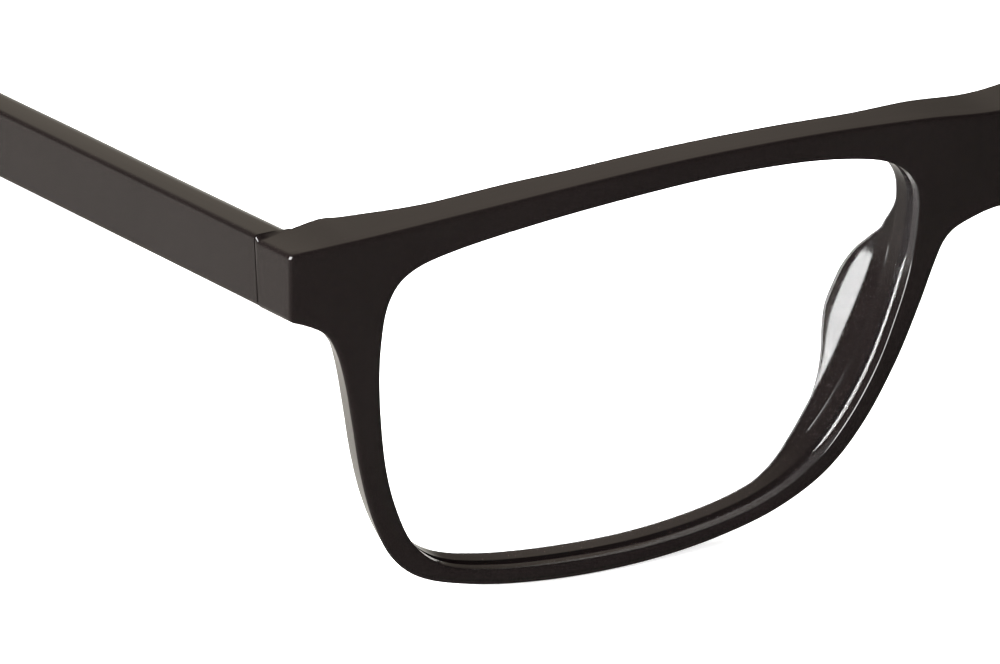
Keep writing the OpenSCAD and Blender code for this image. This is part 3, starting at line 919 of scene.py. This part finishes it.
front_body = build_front()
paint(front_body, front_acetate)
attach(front_body, "front")
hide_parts("front_frame")

left_pieces = {"lens": build_lens(), "temple": build_temple(), "nose_pad": build_pad()}
looks = {"lens": (lens_clear, "lens_clear"), "temple": (temple_acetate, "temple_acetate"),
         "nose_pad": (pad_acetate, "pad_acetate")}
for kind, left_piece in left_pieces.items():
    right_piece = mirror_of(left_piece, left_piece.name.replace("left", "right"))
    for side, piece in (("left", left_piece), ("right", right_piece)):
        material, slot = looks[kind]
        paint(piece, material)
        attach(piece, side + "_temple_arm" if kind == "temple" else "front")
        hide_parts(f"{side}_{kind}")

for side in ("left", "right"):
    paint_node(side + "_front_hinge", hinge_nickel)
    paint_node(side + "_temple_hinge", hinge_nickel)
    paint_node(side + "_hinge_screw", screw_steel)
    paint_node(side + "_core_wire", wire_steel)
    for kind in ("front_hinge", "temple_hinge", "hinge_screw"):
        soften_edges(f"{side}_{kind}")

# ---------------------------------------------------------------- floor, light and camera

FLOOR_HALF = 3            # metres
FLOOR_DROP = 0.0002       # the floor lies this far below the glasses, so that no faces coincide
FLOOR_GLOW = 0.75         # the photo's floor is burnt out to an even white

# The surroundings that the acetate reflects. A ramp holds the values at both ends of a range of directions,
# and that range: x points to the wearer's left, y to the back of the glasses and z up.
SWEEP_TINT = (0.95, 0.91, 0.83, 1)
SWEEP_RAMP = (0.05, 0.43, -0.6, 0.75)
SWEEP_SIDE_RAMP = (1, 1.6, -0.45, 0.1)
GLOW_TINT = (0.34, 0.3, 0.25, 1)
GLOW_RAMP = (0.02, 1, -0.25, 0.6)
GLOW_INWARD_RAMP = (0.1, 1, -0.4, 0.3)
GLOW_ASIDE_RAMP = (1, 0.45, 0.46, 0.62)
HORIZON_RAMP = (0, 1, -0.1, 0.12)


def add_floor():
    """A white floor, left out of reflections: the world's sweep stands in for it there."""
    mesh = bpy.data.meshes.new("floor")
    corners = [(x * FLOOR_HALF, y * FLOOR_HALF, 0) for x, y in ((-1, -1), (1, -1), (1, 1), (-1, 1))]
    mesh.from_pydata(corners, [], [(0, 1, 2, 3)])
    floor = bpy.data.objects.new("floor", mesh)
    floor.location.z = -FLOOR_DROP
    bpy.context.scene.collection.objects.link(floor)
    material, _, _, shader = new_material("floor_paint")
    shader.inputs["Base Color"].default_value = (0.92, 0.92, 0.92, 1)
    shader.inputs["Roughness"].default_value = 0.9
    shader.inputs["Specular IOR Level"].default_value = 0.1
    shader.inputs["Emission Color"].default_value = (1, 1, 1, 1)
    shader.inputs["Emission Strength"].default_value = FLOOR_GLOW
    paint(floor, material)
    floor.visible_glossy = False


def ramp_of(nodes, links, source, ramp):
    """A smooth change from one value to another as a coordinate goes through a range."""
    change = nodes.new("ShaderNodeMapRange")
    change.interpolation_type = "SMOOTHSTEP"
    for name, value in zip(("To Min", "To Max", "From Min", "From Max"), ramp):
        change.inputs[name].default_value = value
    links.new(source, change.inputs["Value"])
    return change.outputs["Result"]


def product_of(nodes, links, first, second):
    """The product of two values."""
    product = nodes.new("ShaderNodeMath")
    product.operation = "MULTIPLY"
    links.new(first, product.inputs[0])
    links.new(second, product.inputs[1])
    return product.outputs["Value"]


def colour_mix(nodes, links, factor):
    """A mix of two colours, black unless they are set, that a factor drives."""
    mix = nodes.new("ShaderNodeMix")
    mix.data_type = "RGBA"
    mix.inputs["A"].default_value = (0, 0, 0, 1)
    links.new(factor, mix.inputs["Factor"])
    return mix


def studio_world():
    """Below the horizon, a pale sweep that darkens to the front. Above it, a dim warm glow behind."""
    world = bpy.data.worlds.new("studio")
    world.use_nodes = True
    nodes, links = world.node_tree.nodes, world.node_tree.links
    coords = nodes.new("ShaderNodeTexCoord")
    axes = nodes.new("ShaderNodeSeparateXYZ")
    links.new(coords.outputs["Generated"], axes.inputs["Vector"])
    x, y, z = (axes.outputs[name] for name in "XYZ")
    sweep = ramp_of(nodes, links, y, SWEEP_RAMP)
    sweep = product_of(nodes, links, sweep, ramp_of(nodes, links, x, SWEEP_SIDE_RAMP))
    glow = ramp_of(nodes, links, y, GLOW_RAMP)
    for ramp in (GLOW_INWARD_RAMP, GLOW_ASIDE_RAMP):
        glow = product_of(nodes, links, glow, ramp_of(nodes, links, x, ramp))
    lower = colour_mix(nodes, links, sweep)
    lower.inputs["B"].default_value = SWEEP_TINT
    upper = colour_mix(nodes, links, glow)
    upper.inputs["B"].default_value = GLOW_TINT
    whole = colour_mix(nodes, links, ramp_of(nodes, links, z, HORIZON_RAMP))
    links.new(lower.outputs["Result"], whole.inputs["A"])
    links.new(upper.outputs["Result"], whole.inputs["B"])
    links.new(whole.outputs["Result"], nodes["Background"].inputs["Color"])
    bpy.context.scene.world = world


def softbox(name, direction, distance, size, radiance, reflected=True):
    """A rectangular area light, sized and placed in metres, that looks at the middle of the glasses."""
    data = bpy.data.lights.new(name, "AREA")
    data.shape = "RECTANGLE"
    data.size, data.size_y = size
    data.energy = radiance * size[0] * size[1] * math.pi
    lamp = bpy.data.objects.new(name, data)
    lamp.visible_glossy = reflected
    away = Vector(direction).normalized()
    lamp.location = (cad_low + cad_high) / 2 + away * distance
    lamp.rotation_mode = "QUATERNION"
    lamp.rotation_quaternion = (-away).to_track_quat("-Z", "Y")
    bpy.context.scene.collection.objects.link(lamp)


add_floor()
studio_world()
softbox("left_softbox", (-0.9, -0.15, 0.38), distance=0.9, size=(1.1, 0.8), radiance=20)
softbox("overhead_fill", (0, 0.25, 1), distance=1.1, size=(1.8, 1.8), radiance=3, reflected=False)

# The camera stands at the front right of the wearer's frame and looks down at the right lens.
CAMERA_AZIMUTH = math.radians(31)
CAMERA_ELEVATION = math.radians(22)
CAMERA_DISTANCE = 0.8     # metres, like the two below
VIEW_WIDTH = 0.08734
AIM_FROM_BRIDGE = Vector((-0.0405, 0.0179, -0.0135))
SENSOR_W = 36             # millimetres


def add_camera():
    """Set in the tilted frame of the front, whose origin is the bridge, then carried to the row frame."""
    forward = Vector((math.sin(CAMERA_AZIMUTH) * math.cos(CAMERA_ELEVATION),
                      math.cos(CAMERA_AZIMUTH) * math.cos(CAMERA_ELEVATION),
                      -math.sin(CAMERA_ELEVATION)))
    right = Vector((math.cos(CAMERA_AZIMUTH), -math.sin(CAMERA_AZIMUTH), 0))
    up = right.cross(forward)
    turn = Matrix.Rotation(TILT - SLOPE, 3, "X")
    bridge = Vector((0, STAND_Y, STAND_Z)) * MM
    data = bpy.data.cameras.new("camera")
    camera = bpy.data.objects.new("camera", data)
    camera.location = bridge + turn @ (AIM_FROM_BRIDGE - forward * CAMERA_DISTANCE)
    axes = Matrix((turn @ right, turn @ up, turn @ -forward)).transposed()
    camera.rotation_mode = "QUATERNION"
    camera.rotation_quaternion = axes.to_quaternion()
    data.sensor_width = SENSOR_W
    data.lens = SENSOR_W * CAMERA_DISTANCE / VIEW_WIDTH
    data.clip_start, data.clip_end = 0.05, 20
    bpy.context.scene.collection.objects.link(camera)
    bpy.context.scene.camera = camera


add_camera()
bpy.context.scene.view_settings.view_transform = "Standard"
